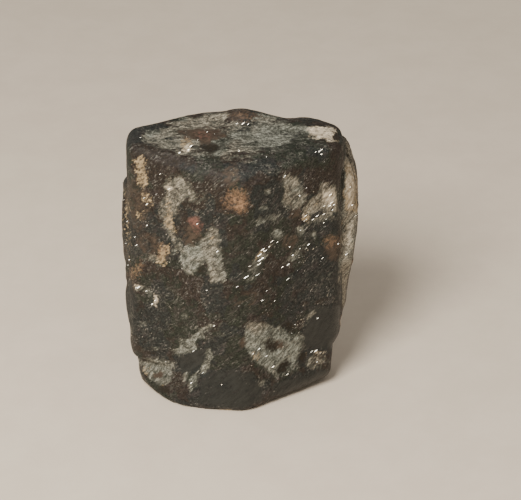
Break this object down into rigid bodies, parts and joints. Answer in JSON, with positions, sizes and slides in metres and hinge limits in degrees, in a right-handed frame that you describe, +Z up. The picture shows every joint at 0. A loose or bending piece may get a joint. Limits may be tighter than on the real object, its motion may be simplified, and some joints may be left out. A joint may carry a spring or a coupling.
{
  "type": "fairy cross staurolite",
  "caption": "Worn staurolite twin: a wide upright six-sided crystal crossed from behind by a second one, with garnet and mica, standing on a flat end.",
  "frame": {"origin": "on the surface the stone stands on, under the middle of its box", "axes": "+Z up along the upright crystal, +X along the crossing crystal to the right, +Y to the back"},
  "size_m": [0.0276, 0.0176, 0.0338],
  "materials": {
    "staurolite": "tumbled to a dull polish, with grey mica patches and red garnets"
  },
  "bodies": {
    "root": {"staurolite_cross": "staurolite"}
  },
  "joints": []
}
